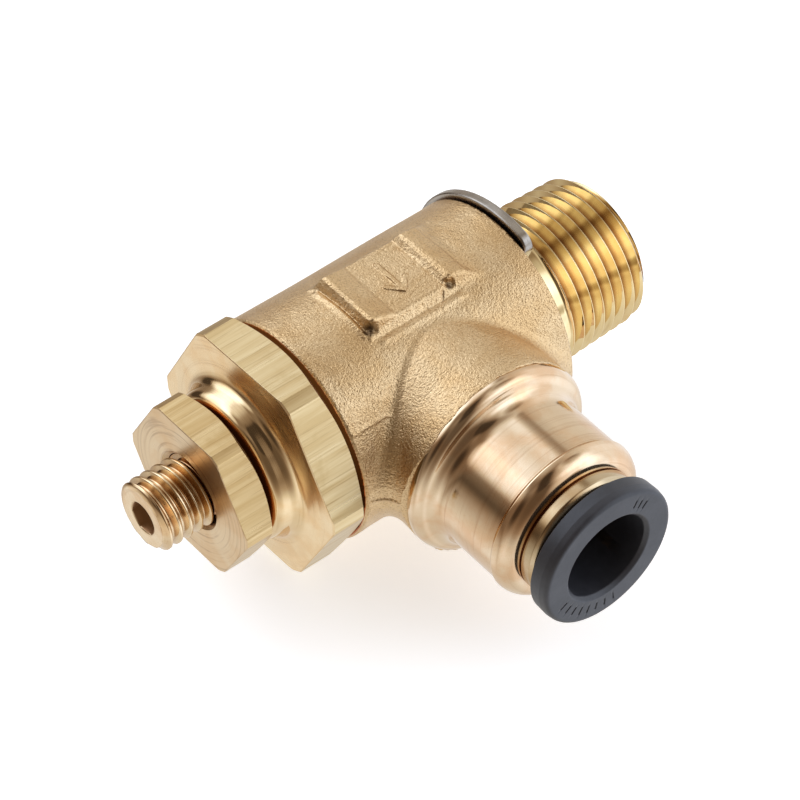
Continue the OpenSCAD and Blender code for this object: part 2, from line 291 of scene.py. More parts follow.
# ---------------------------------------------------------------- node helpers
class Graph:
    """Short calls that build the node tree of a material or a world."""

    def __init__(self, owner, output_kind):
        owner.use_nodes = True
        self.owner = owner
        self.tree = owner.node_tree
        self.tree.nodes.clear()
        self.output = self.tree.nodes.new(output_kind)

    def put(self, socket, value):
        if isinstance(value, bpy.types.NodeSocket):
            self.tree.links.new(value, socket)
            return
        if socket.type == "RGBA" and len(value) == 3:
            value = (*value, 1.0)
        socket.default_value = value

    def node(self, kind, settings=None, numbered=None, **named):
        """A node with its settings, then its inputs by number and by name."""
        made = self.tree.nodes.new(kind)
        for key, value in (settings or {}).items():
            setattr(made, key, value)
        for index, value in (numbered or {}).items():
            self.put(made.inputs[index], value)
        for key, value in named.items():
            self.put(made.inputs[key.replace("_", " ")], value)
        return made

    def math(self, operation, *values):
        settings = {"operation": operation}
        return self.node("ShaderNodeMath", settings, dict(enumerate(values))).outputs[0]

    def add(self, a, b):
        return self.math("ADD", a, b)

    def mul(self, a, b):
        return self.math("MULTIPLY", a, b)

    def weigh(self, *pairs):
        """Sum of (value, weight) pairs."""
        total = self.mul(*pairs[0])
        for value, weight in pairs[1:]:
            total = self.add(total, self.mul(value, weight))
        return total

    def ramp(self, value, start, end, low=0.0, high=1.0):
        """Smooth step from low at start to high at end."""
        inputs = dict(enumerate((value, start, end, low, high)))
        settings = {"interpolation_type": "SMOOTHSTEP"}
        return self.node("ShaderNodeMapRange", settings, inputs).outputs[0]

    def mix(self, factor, a, b):
        return self.node("ShaderNodeMix", {"data_type": "RGBA"}, {0: factor, 6: a, 7: b}).outputs[2]

    def mix_float(self, factor, a, b):
        inputs = {0: factor, 2: a, 3: b}
        return self.node("ShaderNodeMix", {"data_type": "FLOAT"}, inputs).outputs[0]

    def mix_vector(self, factor, a, b):
        inputs = {0: factor, 4: a, 5: b}
        return self.node("ShaderNodeMix", {"data_type": "VECTOR"}, inputs).outputs[1]

    def stain(self, under, over, pattern, start, end, amount):
        """Lays colour over colour where a pattern runs from start to end."""
        return self.mix(self.mul(self.ramp(pattern, start, end), amount), under, over)

    def vector(self, x, y, z):
        return self.node("ShaderNodeCombineXYZ", None, {0: x, 1: y, 2: z}).outputs[0]

    def split(self, vector):
        return self.node("ShaderNodeSeparateXYZ", Vector=vector).outputs

    def texcoord(self):
        return self.node("ShaderNodeTexCoord").outputs

    def noise(self, vector, scale, detail=3.0, rough=0.55, distortion=0.0):
        made = self.node(
            "ShaderNodeTexNoise", Vector=vector, Scale=scale, Detail=detail,
            Roughness=rough, Distortion=distortion,
        )
        return made.outputs["Fac"]

    def around(self, xyz, axis):
        """(station, radius, two side offsets) in metres round the "main" or "port" axis."""
        if axis == "main":
            station, u, v = xyz[0], xyz[1], xyz[2]
        else:
            station = self.mul(xyz[1], -1.0)
            u, v = self.math("SUBTRACT", xyz[0], PORT_X * MM), xyz[2]
        return station, self.math("SQRT", self.add(self.mul(u, u), self.mul(v, v))), u, v

    def unit(self, radius, *sides):
        """Side offsets over the radius: the cosine and sine of the angle round the axis."""
        safe = self.math("MAXIMUM", radius, 1e-5)
        return [self.math("DIVIDE", side, safe) for side in sides]

    def bump(self, height, distance, strength):
        made = self.node("ShaderNodeBump", Height=height, Strength=strength, Distance=distance)
        return made.outputs[0]

    def finish(self, **inputs):
        shader = self.node("ShaderNodeBsdfPrincipled", **inputs)
        self.tree.links.new(shader.outputs[0], self.output.inputs[0])
        return self.owner


def new_material(name):
    return Graph(bpy.data.materials.new(name), "ShaderNodeOutputMaterial")


def srgb(r, g, b):
    """Linear colour from 0-255 sRGB."""
    return tuple(
        (c / 255 / 12.92) if c / 255 <= 0.04045 else ((c / 255 + 0.055) / 1.055) ** 2.4
        for c in (r, g, b)
    )


def brass(r, g, b, tone=(1, 1, 1)):
    """An sRGB colour taken towards pale brass, then scaled channel by channel."""
    c = srgb(r, g, b)
    pale = (c[0], min(c[1] * 1.13, 1.0), min(c[2] * 1.48, 1.0))
    return tuple(channel * factor for channel, factor in zip(pale, tone))


# ------------------------------------------------------------------- materials
# painted bounce light: an orange glow put on brass faces that face each other, which are no lamps
PAINTED_BOUNCE_GLOW = (0.62, 0.24, 0.05)  # deep orange light thrown between facing brass ends


def turned_layers(g, xyz, axis, base, dark, warm):
    """Colour, roughness and height of a turned or polished brass surface."""
    station, radius, *sides = g.around(xyz, axis)
    cosine, sine = g.unit(radius, *sides)
    # stretched round the axis, so that the grain follows the lathe tool
    fine = g.noise(
        g.vector(station, radius, g.mul(cosine, 0.00006)), scale=9000.0, detail=2.0, rough=0.6
    )
    coarse = g.noise(
        g.vector(g.add(station, 0.013), radius, g.mul(sine, 0.0004)),
        scale=1900.0, detail=3.0, rough=0.6,
    )
    points = g.texcoord()["Object"]
    stain = g.noise(points, scale=210.0, detail=4.0, rough=0.6, distortion=0.3)
    fleck = g.noise(points, scale=1500.0, detail=4.0, rough=0.7)
    colour = g.mix(g.ramp(stain, start=0.38, end=0.68), base, warm)
    colour = g.stain(colour, dark, coarse, start=0.52, end=0.78, amount=0.35)
    colour = g.stain(colour, dark, fleck, start=0.66, end=0.8, amount=0.35)
    rough = g.weigh((coarse, 0.12), (stain, 0.10))
    height = g.weigh((fine, 0.55), (coarse, 0.8))
    return colour, rough, height


def cast_layers(g, points):
    """Colour, roughness and height of fine shot-blasted cast brass."""
    tone = (1.02, 0.93, 0.75)
    grain = g.noise(points, scale=6400.0, detail=2.0, rough=0.55)
    pebble = g.noise(points, scale=3000.0, detail=2.0, rough=0.5)
    blotch = g.noise(points, scale=170.0, detail=4.0, rough=0.62, distortion=0.4)
    cells = g.node(
        "ShaderNodeTexVoronoi", {"feature": "SMOOTH_F1"},
        Vector=points, Scale=2300.0, Smoothness=0.6,
    )
    pits = g.ramp(cells.outputs["Distance"], start=0.05, end=0.42)
    lump = g.noise(points, scale=600.0, detail=2.0, rough=0.5)
    colour = g.mix(
        g.ramp(blotch, start=0.36, end=0.66),
        brass(221, 189, 141, tone), brass(211, 174, 122, tone),
    )
    colour = g.stain(colour, brass(146, 102, 54), grain, start=0.50, end=0.32, amount=0.55)
    colour = g.stain(colour, brass(120, 84, 48), pebble, start=0.3, end=0.12, amount=0.5)
    rough = g.add(0.25, g.mul(grain, 0.16))
    height = g.weigh((grain, 1.05), (pebble, 1.0), (pits, 0.25), (lump, 0.9))
    return colour, rough, height


def painted_crevice_shade(g, colour, distance, tint, amount):
    """Painted shade: darker, redder brass where surfaces meet, from an occlusion mask."""
    shade = g.node("ShaderNodeAmbientOcclusion", {"samples": 6}, Distance=distance)
    return g.stain(colour, tint, shade.outputs["AO"], start=0.72, end=0.30, amount=amount)


# dark pits beside the pad: x, y, z and radius in mm
DARK_PIT_SPOTS = ((-6.0, -3.55, 12.3, 0.5), (4.05, -3.75, 12.25, 0.36))


def body_material():
    g = new_material("cast_and_turned_brass")
    points = g.texcoord()["Object"]
    xyz = g.split(points)
    waver = g.noise(points, scale=330.0, detail=3.0, rough=0.6)
    x = g.math("SUBTRACT", xyz[0], PORT_X * MM)
    radius = g.around(xyz, "main")[1]
    # masks of the machined faces: the two ends of the barrel and its bore
    stem_end = g.ramp(x, start=0.01334, end=0.01338)
    bonnet_end = g.ramp(x, start=-0.01369, end=-0.01373)
    bore = g.mul(
        g.ramp(radius, start=0.01105, end=0.01098),
        g.ramp(g.math("ABSOLUTE", xyz[1]), start=0.0125, end=0.0124),
    )
    machined = g.math("MAXIMUM", g.math("MAXIMUM", stem_end, bonnet_end), bore)
    cast, cast_rough, cast_height = cast_layers(g, points)
    turned, turned_rough, turned_height = turned_layers(
        g, xyz, "port",
        base=brass(232, 194, 144, (1.0, 1.01, 1.12)),
        dark=brass(176, 122, 72, (1.0, 1.0, 1.1)),
        warm=brass(224, 174, 120, (1.0, 1.01, 1.12)),
    )
    masks = []
    for pit_x, pit_y, pit_z, size in DARK_PIT_SPOTS:
        centre = ((pit_x + PORT_X) * MM, pit_y * MM, pit_z * MM)
        gap = g.node("ShaderNodeVectorMath", {"operation": "DISTANCE"}, {0: points, 1: centre})
        wobble = g.mul(g.math("SUBTRACT", waver, 0.5), 0.0006)
        edge = g.add(gap.outputs["Value"], wobble)
        masks.append(g.ramp(edge, start=size * 0.0016, end=size * 0.0006))
    pits = g.math("MAXIMUM", *masks)
    # the pits beside the pad are coloured dark brown
    cast = g.mix(g.mul(pits, 0.85), cast, srgb(58, 38, 22))
    # painted shade where surfaces meet, on the cast and on the turned brass
    cast = painted_crevice_shade(g, cast, distance=0.0016, tint=srgb(120, 82, 46), amount=0.55)
    turned = painted_crevice_shade(g, turned, distance=0.0009, tint=srgb(150, 84, 34), amount=0.6)
    colour = g.mix(machined, cast, turned)
    # painted bounce light: the bonnet end of the barrel is tinted orange and glows faintly, more
    # towards +Z
    glow = g.mul(bonnet_end, g.ramp(xyz[2], start=-0.002, end=0.010, low=0.1, high=1.0))
    colour = g.mix(g.mul(bonnet_end, 0.8), colour, srgb(176, 92, 36))
    normal = g.mix_vector(
        machined,
        g.bump(cast_height, distance=0.000068, strength=1.0),
        g.bump(turned_height, distance=0.0000035, strength=0.5),
    )
    return g.finish(
        Base_Color=colour, Metallic=1.0,
        Roughness=g.mix_float(machined, cast_rough, g.add(0.02, turned_rough)),
        Normal=normal, Emission_Color=PAINTED_BOUNCE_GLOW, Emission_Strength=g.mul(glow, 0.10),
    )


def turned_material(name, axis, base, dark, warm, rough, bump=0.000003, socket=False):
    """Turned brass. With socket, the hex socket of the screw gets painted shade and a faint painted
    glow inside.
    """
    g = new_material(name)
    xyz = g.split(g.texcoord()["Object"])
    colour, layer_rough, height = turned_layers(g, xyz, axis, base, dark, warm)
    # painted shade where surfaces meet
    colour = painted_crevice_shade(g, colour, distance=0.0009, tint=srgb(140, 76, 30), amount=0.6)
    rough = g.add(rough, layer_rough)
    emission = {}
    if socket:
        x, radius = g.around(xyz, axis)[:2]
        # painted shade and glow: dark brown colour inside the hex socket, with a faint orange glow
        socket_painted_shade = g.mul(
            g.ramp(radius, start=0.00215, end=0.00195),
            g.ramp(x, start=(PORT_X - 31.97) * MM, end=(PORT_X - 31.85) * MM),
        )
        colour = g.mix(g.mul(socket_painted_shade, 0.85), colour, srgb(112, 66, 32))
        rough = g.add(rough, g.mul(socket_painted_shade, 0.35))
        emission = {
            "Emission_Color": (0.9, 0.42, 0.14),
            "Emission_Strength": g.mul(socket_painted_shade, 0.05),
        }
    normal = g.bump(height, distance=bump, strength=0.6)
    return g.finish(Base_Color=colour, Metallic=1.0, Roughness=rough, Normal=normal, **emission)


def hex_material(name, flats, face_rough, turned_bump, face_tone, flat_tone, domed):
    """Drawn flats streaked along X, with turned faces: a polished dome, or ringed faces."""
    g = new_material(name)
    flat_radius = flats / 2 * MM
    coords = g.texcoord()
    points = coords["Object"]
    xyz = g.split(points)
    facing_x = g.split(coords["Normal"])[0]
    radius, side = g.around(xyz, "main")[1:3]
    flat = g.mul(
        g.ramp(g.math("ABSOLUTE", facing_x), start=0.30, end=0.18),
        g.ramp(radius, start=flat_radius - 0.00012, end=flat_radius - 0.00004),
    )
    turned, turned_rough, turned_height = turned_layers(
        g, xyz, "main",
        base=brass(232, 200, 154, face_tone),
        dark=brass(170, 122, 74, face_tone),
        warm=brass(226, 186, 134, face_tone),
    )
    fine_vector = g.vector(g.mul(xyz[0], 0.02), xyz[1], xyz[2])
    fine_streak = g.noise(fine_vector, scale=5200.0, detail=3.0, rough=0.62)
    broad_vector = g.vector(g.mul(xyz[0], 0.05), xyz[1], xyz[2])
    broad_streak = g.noise(broad_vector, scale=1300.0, detail=3.0, rough=0.6)
    patch = g.noise(points, scale=260.0, detail=4.0, rough=0.6)
    drawn = g.mix(
        g.ramp(broad_streak, start=0.34, end=0.66),
        brass(226, 200, 138, flat_tone), brass(212, 182, 118, flat_tone),
    )
    streak_colour = brass(166, 132, 74, flat_tone)
    drawn = g.stain(drawn, streak_colour, fine_streak, start=0.52, end=0.7, amount=0.5)
    patch_colour = brass(190, 158, 94, flat_tone)
    drawn = g.stain(drawn, patch_colour, patch, start=0.54, end=0.72, amount=0.4)
    if not domed:
        (cosine,) = g.unit(radius, side)
        ring_vector = g.vector(0.01, radius, g.mul(cosine, 0.0006))
        rings = g.noise(ring_vector, scale=1700.0, detail=3.0, rough=0.65)
        ring_colour = brass(150, 112, 72)
        turned = g.stain(turned, ring_colour, rings, start=0.5, end=0.66, amount=0.45)
        turned_height = g.add(turned_height, g.mul(rings, 1.2))
    colour = g.mix(flat, turned, drawn)
    # painted shade where surfaces meet
    colour = painted_crevice_shade(g, colour, distance=0.0009, tint=srgb(140, 76, 30), amount=0.6)
    # painted bounce light: the face turned towards +X, which faces the next brass part, is tinted
    # orange and glows faintly
    inner_face = g.mul(
        g.ramp(facing_x, start=0.8, end=0.95),
        g.ramp(radius, start=flat_radius, end=flat_radius - 0.0003),
    )
    colour = g.mix(g.mul(inner_face, 0.7), colour, srgb(176, 100, 44))
    flat_rough = g.add(0.2, g.mul(broad_streak, 0.22))
    dome = g.ramp(radius, start=0.0098, end=0.0086) if domed else 0.0
    base_rough = g.mix_float(dome, face_rough, -0.02)
    rough = g.mix_float(flat, g.add(base_rough, turned_rough), flat_rough)
    flat_height = g.add(fine_streak, g.mul(broad_streak, 1.4))
    normal = g.mix_vector(
        flat,
        g.bump(turned_height, distance=turned_bump, strength=0.8),
        g.bump(flat_height, distance=0.000005, strength=0.7),
    )
    return g.finish(
        Base_Color=colour, Metallic=1.0, Roughness=rough, Normal=normal,
        Emission_Color=PAINTED_BOUNCE_GLOW, Emission_Strength=g.mul(inner_face, 0.02),
    )


def steel_material(name, base, dark, rough, bump=0.000004):
    g = new_material(name)
    points = g.texcoord()["Object"]
    x, radius, side, _ = g.around(g.split(points), "main")
    (cosine,) = g.unit(radius, side)
    turning = g.noise(
        g.vector(x, radius, g.mul(cosine, 0.0005)), scale=4000.0, detail=3.0, rough=0.6
    )
    blotch = g.noise(points, scale=900.0, detail=4.0, rough=0.65)
    grain = g.noise(points, scale=3800.0, detail=3.0, rough=0.6)
    colour = g.stain(base, dark, blotch, start=0.4, end=0.7, amount=0.4)
    colour = g.stain(colour, dark, turning, start=0.5, end=0.7, amount=0.5)
    height = g.add(turning, g.mul(grain, 0.8))
    return g.finish(
        Base_Color=colour, Metallic=1.0, Roughness=g.add(rough, g.mul(blotch, 0.16)),
        Normal=g.bump(height, distance=bump, strength=0.6),
    )


def plastic_material(name, base, light, rough, bump):
    g = new_material(name)
    points = g.texcoord()["Object"]
    grain = g.noise(points, scale=2600.0, detail=3.0, rough=0.6)
    blotch = g.noise(points, scale=260.0, detail=4.0, rough=0.6)
    return g.finish(
        Base_Color=g.mix(g.ramp(blotch, start=0.35, end=0.7), base, light),
        Roughness=g.add(rough, g.mul(grain, 0.14)),
        Specular_IOR_Level=0.5,
        Normal=g.bump(grain, distance=bump, strength=0.7),
    )


BODY_BRASS = body_material()
BONNET_BRASS = hex_material(
    "bonnet_brass", BONNET_FLATS, face_rough=0.14, turned_bump=0.000006,
    face_tone=(1.02, 0.97, 0.78), flat_tone=(0.91, 0.82, 0.77), domed=True,
)
NUT_BRASS = hex_material(
    "nut_brass", NUT_FLATS, face_rough=0.20, turned_bump=0.00002,
    face_tone=(0.88, 0.83, 0.69), flat_tone=(0.88, 0.75, 0.65), domed=False,
)
PORT_BRASS = turned_material(
    "port_brass", "port",
    base=brass(232, 194, 144, (0.92, 0.94, 0.92)),
    dark=brass(172, 116, 66, (0.92, 0.91, 0.85)),
    warm=brass(224, 174, 120, (0.92, 0.94, 0.92)),
    rough=0.01, bump=0.0000035,
)
THREAD_BRASS = turned_material(
    "thread_brass", "main",
    base=brass(230, 198, 132, (1.05, 1.04, 1.06)),
    dark=brass(186, 142, 82),
    warm=brass(222, 184, 116, (1.05, 1.04, 1.06)),
    rough=-0.04,
)
SCREW_BRASS = turned_material(
    "screw_brass", "main",
    base=brass(228, 194, 140), dark=brass(160, 108, 54), warm=brass(216, 170, 110),
    rough=0.02, socket=True,
)
CARTRIDGE_BRASS = turned_material(
    "cartridge_brass", "port",
    base=brass(228, 190, 122, (0.72, 0.75, 0.94)),
    dark=brass(168, 116, 52, (0.72, 0.75, 0.92)),
    warm=brass(214, 166, 96, (0.72, 0.75, 0.94)),
    rough=0.06,
)
INNER_BRASS = turned_material(
    "inner_brass", "main",
    base=brass(224, 186, 128), dark=brass(170, 120, 66), warm=brass(214, 170, 110),
    rough=0.18,
)
RING_STEEL = steel_material(
    "ring_steel", base=srgb(170, 161, 149), dark=srgb(124, 117, 108), rough=0.2, bump=0.000006
)
GROUND_STEEL = steel_material(
    "ground_steel", base=srgb(205, 206, 208), dark=srgb(170, 171, 174), rough=0.16
)
SPRING_STEEL = steel_material(
    "spring_steel", base=srgb(176, 178, 182), dark=srgb(128, 130, 134), rough=0.24
)
RUBBER = plastic_material(
    "o_ring_rubber", base=srgb(28, 28, 29), light=srgb(38, 38, 39), rough=0.5, bump=0.000004
)
BLACK_PLASTIC = plastic_material(
    "collar_plastic", base=srgb(48, 48, 52), light=srgb(60, 60, 64), rough=0.36, bump=0.000007
)
WHITE_PLASTIC = plastic_material(
    "backup_plastic", base=srgb(226, 223, 214), light=srgb(212, 208, 198),
    rough=0.45, bump=0.000004,
)


# --------------------------------------------------------------- signed fields
def smooth_min(a, b, blend):
    h = np.clip(0.5 + 0.5 * (b - a) / blend, 0, 1)
    return b * (1 - h) + a * h - blend * h * (1 - h)


def smooth_max(a, b, blend):
    return -smooth_min(-a, -b, blend)


def carve(field, a, b):
    """Takes away the hollow where both a and b are negative."""
    return np.maximum(field, -np.maximum(a, b))


def rise(value, start, length):
    return np.clip((value - start) / length, 0, 1)


def fall(value, end, length):
    return np.clip((end - value) / length, 0, 1)


def ridge(offset, width):
    """Bell-shaped bump across an offset, with a height of 1."""
    return np.exp(-((offset / width) ** 2))


def drum(radius, station, start, end, size, rounding):
    """Distance to a cylinder with rounded rims."""
    across = radius - (size - rounding)
    along = np.abs(station - (start + end) / 2) - ((end - start) / 2 - rounding)
    return (
        np.minimum(np.maximum(across, along), 0)
        + np.hypot(np.maximum(across, 0), np.maximum(along, 0))
        - rounding
    )


def line_distance(x, y, start, end):
    """Distance in plan to the line between two (x, y) points."""
    (ax, ay), (bx, by) = start, end
    vx, vy = bx - ax, by - ay
    t = np.clip(((x - ax) * vx + (y - ay) * vy) / (vx * vx + vy * vy), 0, 1)
    return np.hypot(x - ax - t * vx, y - ay - t * vy)


# slow waves of the cast skin: wave vector, phase, height
RANDOM = np.random.default_rng(7)
WAVES = [
    (RANDOM.normal(size=3) * frequency, RANDOM.uniform(0, 6.28), height)
    for frequency, height in ((0.35, 0.04), (0.5, 0.03), (0.8, 0.012), (1.1, 0.008))
]

# top of the pad with its two ribs: x, z
PAD_TOP = np.array([
    (-6.7, 11.4), (-6.15, 12.6), (-5.75, 13.22), (-5.35, 13.38), (-4.5, 13.22), (-2.95, 12.78),
    (-2.7, 12.62), (3.5, 12.6), (4.05, 13.16), (4.45, 13.3), (5.3, 13.2), (6.3, 12.85),
    (7.6, 11.9),
]).T

# flow arrow on the pad, pointing to the port: (x, y) ends of its strokes
ARROW = (
    ((0.0, 2.7), (0.0, -1.7)),
    ((0.0, -1.7), (-1.25, -0.3)),
    ((0.0, -1.7), (1.25, -0.3)),
)
ARROW_HALF_WIDTH = 0.26

# pits beside the pad: (x, y) ends, z, radius, blend
PITS = (
    ((-6.25, -3.35), (-5.75, -3.95), 12.75, 0.48, 0.35),
    ((3.85, -3.75), (4.35, -3.9), 12.62, 0.34, 0.3),
)


def barrel_and_neck(x, z, main_radius, port_radius, depth):
    barrel = drum(
        main_radius, x, BARREL_START, BARREL_END, size=BARREL_RADIUS, rounding=0.12
    )
    flare = 0.05 * np.clip(depth - 12, 0, 4)
    neck = np.maximum(port_radius - 10.95 - flare, np.maximum(depth - 17.2, -depth))
    # the fillet shrinks from the flanks to the crown, where the skins meet at a small angle
    cosine = np.clip(z * z / np.maximum(main_radius * port_radius, 1.0), 0, 1)
    size = 3.1 - 1.9 * rise(np.abs(z), start=1.5, length=7.0)
    return smooth_min(barrel, neck, 4 * size * (1 - np.sqrt((1 + cosine) / 2)) + 0.05)


def add_pad(cast, x, y, z):
    """Ribbed pad with drafted sides, and the raised arrow on it."""
    top = np.interp(x, *PAD_TOP)
    drop = 12.9 - z
    side_y = np.maximum(y - 4.55 - 0.42 * drop, -y - 3.65 - 0.42 * drop) * 0.92
    side_x = np.maximum(x - 6.9 - 0.8 * drop, -x - 6.1 - 0.35 * drop) * 0.85
    pad = smooth_max((z - top) * 0.9, side_y, blend=0.35)
    pad = smooth_max(pad, side_x, blend=0.4)
    pad = np.maximum(pad, 9.0 - z)
    cast = smooth_min(cast, pad, blend=0.55)
    strokes = [line_distance(x, y, *ends) for ends in ARROW]
    plan = np.minimum(np.minimum(strokes[0], strokes[1]), strokes[2]) - ARROW_HALF_WIDTH
    off_top = (1 - rise(z, start=10, length=1.0)) * 2
    arrow = np.maximum(plan, np.abs(z - 12.6) - 0.2) + off_top
    return smooth_min(cast, arrow, blend=0.12)


def add_skin_marks(cast, x, y, z):
    """Parting line, tool line, beads and grooves at the foot of the pad, pits and a crease."""
    cast = cast - 0.1 * ridge(z, width=0.17)
    corner = (
        fall(x, end=-8.6, length=0.5) * rise(z, start=4, length=2) * fall(y, end=-4.0, length=1.5)
    )
    cast = cast - 0.07 * ridge(z - 7.55, width=0.16) * corner
    top = rise(z, start=9.0, length=1.5)
    low_x_side = fall(y, end=4.6, length=0.6) * rise(y, start=-4.1, length=0.5) * top
    port_side = fall(x, end=5.4, length=1.2) * rise(x, start=-5.9, length=0.6) * top
    high_x_side = fall(y, end=4.3, length=0.6) * rise(y, start=-3.2, length=0.8) * top
    # offset from the line, height (negative for a groove), width, where it runs
    for offset, height, width, extent in (
        (x + 6.72, 0.2, 0.27, low_x_side),
        (x + 6.25, -0.13, 0.13, low_x_side),
        (y + 5.05, 0.13, 0.3, port_side),
        (y + 4.45, -0.07, 0.16, port_side),
        (x - 6.6, -0.07, 0.16, high_x_side),
    ):
        cast = cast - height * ridge(offset, width) * extent
    uneven = 0.12 * np.sin(5.1 * x + 1.3) * np.sin(4.3 * y - 0.7)
    for start, end, height, size, blend in PITS:
        plan = line_distance(x, y, start, end)
        pit = np.hypot(plan, (z - height) * 0.8) - size + uneven
        cast = smooth_max(cast, -pit, blend)
    crease = line_distance(x, y, (3.1, -3.9), (2.0, -5.1))
    return cast + 0.1 * ridge(crease, width=0.12) * top


def body_field(points):
    """Rough signed distance to the skin of the body, negative inside the metal."""
    x, y, z = points[:, 0], points[:, 1], points[:, 2]
    main_radius, port_radius, depth = np.hypot(y, z), np.hypot(x, z), -y
    cast = barrel_and_neck(x, z, main_radius, port_radius, depth)
    cast = add_pad(cast, x, y, z)
    cast = add_skin_marks(cast, x, y, z)
    away_from_ends = fall(depth, end=15.6, length=0.8) * fall(np.abs(x), end=12.7, length=0.8)
    ripple = sum(height * np.sin(points @ wave + phase) for wave, phase, height in WAVES)
    cast = cast + ripple * away_from_ends
    # flat ends of the barrel and their chamfers
    cast = np.maximum(cast, np.maximum(BARREL_START - x, x - BARREL_END))
    chamfer = np.maximum(x - BARREL_END + 0.14, BARREL_START + 0.22 - x)
    cast = np.maximum(cast, (main_radius + chamfer - BARREL_RADIUS) * 0.7071)
    # the casting stops where the port was turned, on a slightly tilted and uneven line
    uneven = 0.07 * np.sin(2.1 * x + 0.4) * np.cos(1.7 * z) + 0.04 * np.sin(4.3 * x - 2.9 * z)
    stop = (depth + 0.034 * (x + z) - 15.97 + uneven) * 0.97
    field = smooth_max(cast, stop, blend=0.14)
    # main bore, its inner recess and the chamfered mouths
    field = smooth_max(field, BORE_RADIUS - main_radius, blend=0.08)
    field = carve(field, main_radius - 10.9, np.maximum(-4.5 - x, x - 8.7))
    mouth = (main_radius - (BORE_RADIUS + 0.45 - (13.6 + x))) * 0.7071
    field = carve(field, mouth, -20 - x)
    mouth = (main_radius - (BORE_RADIUS + 0.45 - (BARREL_END - x))) * 0.7071
    field = carve(field, mouth, x - 20)
    # stepped bore of the port
    field = carve(field, port_radius - 3.9, 5.0 - depth)
    return carve(field, port_radius - PORT_BORE, 14.0 - depth)


def gradient(field, points, reach=0.008):
    out = np.zeros_like(points)
    for axis in range(3):
        step = np.zeros(3)
        step[axis] = reach
        out[:, axis] = (field(points + step) - field(points - step)) / (2 * reach)
    return out


def pull(field, points, limit, rounds):
    """Moves points onto the zero surface of a field, by at most the limit in each round."""
    for _ in range(rounds):
        slope = gradient(field, points)
        square = np.maximum((slope * slope).sum(1), 0.05)
        move = -(field(points) / square)[:, None] * slope
        length = np.linalg.norm(move, axis=1, keepdims=True)
        points = points + move * np.minimum(1, limit / np.maximum(length, 1e-9))
    return points


def sample_grid(field, low, size, cell):
    """Field values on a grid, taken one x layer at a time."""
    xs, ys, zs = (low[axis] + np.arange(size[axis]) * cell for axis in range(3))
    values = np.zeros(size, np.float32)
    yy, zz = np.meshgrid(ys, zs, indexing="ij")
    layer = np.stack([np.zeros(yy.size), yy.ravel(), zz.ravel()], 1)
    for i, x in enumerate(xs):
        layer[:, 0] = x
        values[i] = field(layer).reshape(size[1], size[2])
    return values


def surface_nets(field, low, high, cell):
    """Points and quads on the zero surface of a field inside a box, by naive surface nets."""
    low, high = np.array(low, float), np.array(high, float)
    size = np.ceil((high - low) / cell).astype(int) + 1
    values = sample_grid(field, low, size, cell)
    inside = values < 0

    # one point in each cell that the surface crosses
    corners = [(a, b, c) for a in (0, 1) for b in (0, 1) for c in (0, 1)]
    count = np.zeros(size - 1, np.int8)
    for a, b, c in corners:
        count += inside[a : size[0] - 1 + a, b : size[1] - 1 + b, c : size[2] - 1 + c]
    crossed = (count > 0) & (count < 8)
    cells = np.argwhere(crossed)
    numbers = np.full(size - 1, -1, np.int64)
    numbers[crossed] = np.arange(len(cells))

    # which lies at the mean of the crossings on the cell's edges
    at_corner = [values[cells[:, 0] + a, cells[:, 1] + b, cells[:, 2] + c] for a, b, c in corners]
    total, hits = np.zeros((len(cells), 3)), np.zeros(len(cells))
    for i in range(8):
        for j in range(i + 1, 8):
            if sum(abs(corners[i][k] - corners[j][k]) for k in range(3)) != 1:
                continue
            cross = (at_corner[i] < 0) != (at_corner[j] < 0)
            t = np.where(cross, at_corner[i] / np.where(cross, at_corner[i] - at_corner[j], 1), 0)
            start, end = np.array(corners[i], float), np.array(corners[j], float)
            total += np.where(cross[:, None], start + t[:, None] * (end - start), 0)
            hits += cross
    points = low + (cells + total / hits[:, None]) * cell

    # one quad round each grid edge that the surface crosses
    quads = []
    for axis in range(3):
        b, c = (axis + 1) % 3, (axis + 2) % 3
        here, ahead = [slice(None)] * 3, [slice(None)] * 3
        here[axis], ahead[axis] = slice(0, size[axis] - 1), slice(1, size[axis])
        edges = np.argwhere(inside[tuple(here)] != inside[tuple(ahead)])
        edges = edges[
            (edges[:, b] > 0) & (edges[:, c] > 0)
            & (edges[:, b] < size[b] - 1) & (edges[:, c] < size[c] - 1)
        ]
        ring = []
        for step_b, step_c in ((1, 1), (0, 1), (0, 0), (1, 0)):
            near = edges.copy()
            near[:, b] -= step_b
            near[:, c] -= step_c
            ring.append(numbers[near[:, 0], near[:, 1], near[:, 2]])
        ring = np.stack(ring, 1)
        keep = inside[edges[:, 0], edges[:, 1], edges[:, 2]]
        ring[~keep] = ring[~keep][:, ::-1]
        quads.append(ring)
    return points, np.concatenate(quads)


# ------------------------------------------------------------------------ body
BODY_TRIANGLES = 190000


def build_body():
    cell = 0.18
    points, quads = surface_nets(body_field, (-14.0, -17.0, -13.2), (13.7, 13.1, 13.8), cell)
    points = pull(body_field, points, limit=cell * 0.6, rounds=4)
    mesh = quad_mesh("valve_body", points, quads)
    triangles = 2 * len(quads)
    if triangles > BODY_TRIANGLES:
        mesh = modified(mesh, "DECIMATE", ratio=BODY_TRIANGLES / triangles)
    write_points(mesh, pull(body_field, read_points(mesh), limit=0.05, rounds=2))
    mesh.update()
    tidy(mesh, weld=0, flat=1e-7)
    normals = gradient(body_field, read_points(mesh), reach=0.03)
    normals /= np.maximum(np.linalg.norm(normals, axis=1, keepdims=True), 1e-9)
    mesh.normals_split_custom_set_from_vertices(normals.tolist())
    piece("valve_body", mesh, "swivel_body", BODY_BRASS, "body")


def arc(centre, radius, start, end, count):
    """Unfilleted outline rows on an arc between two angles in degrees."""
    return [
        (centre[0] + radius * math.cos(t), centre[1] + radius * math.sin(t), 0.0)
        for t in np.radians(np.linspace(start, end, count))
    ]


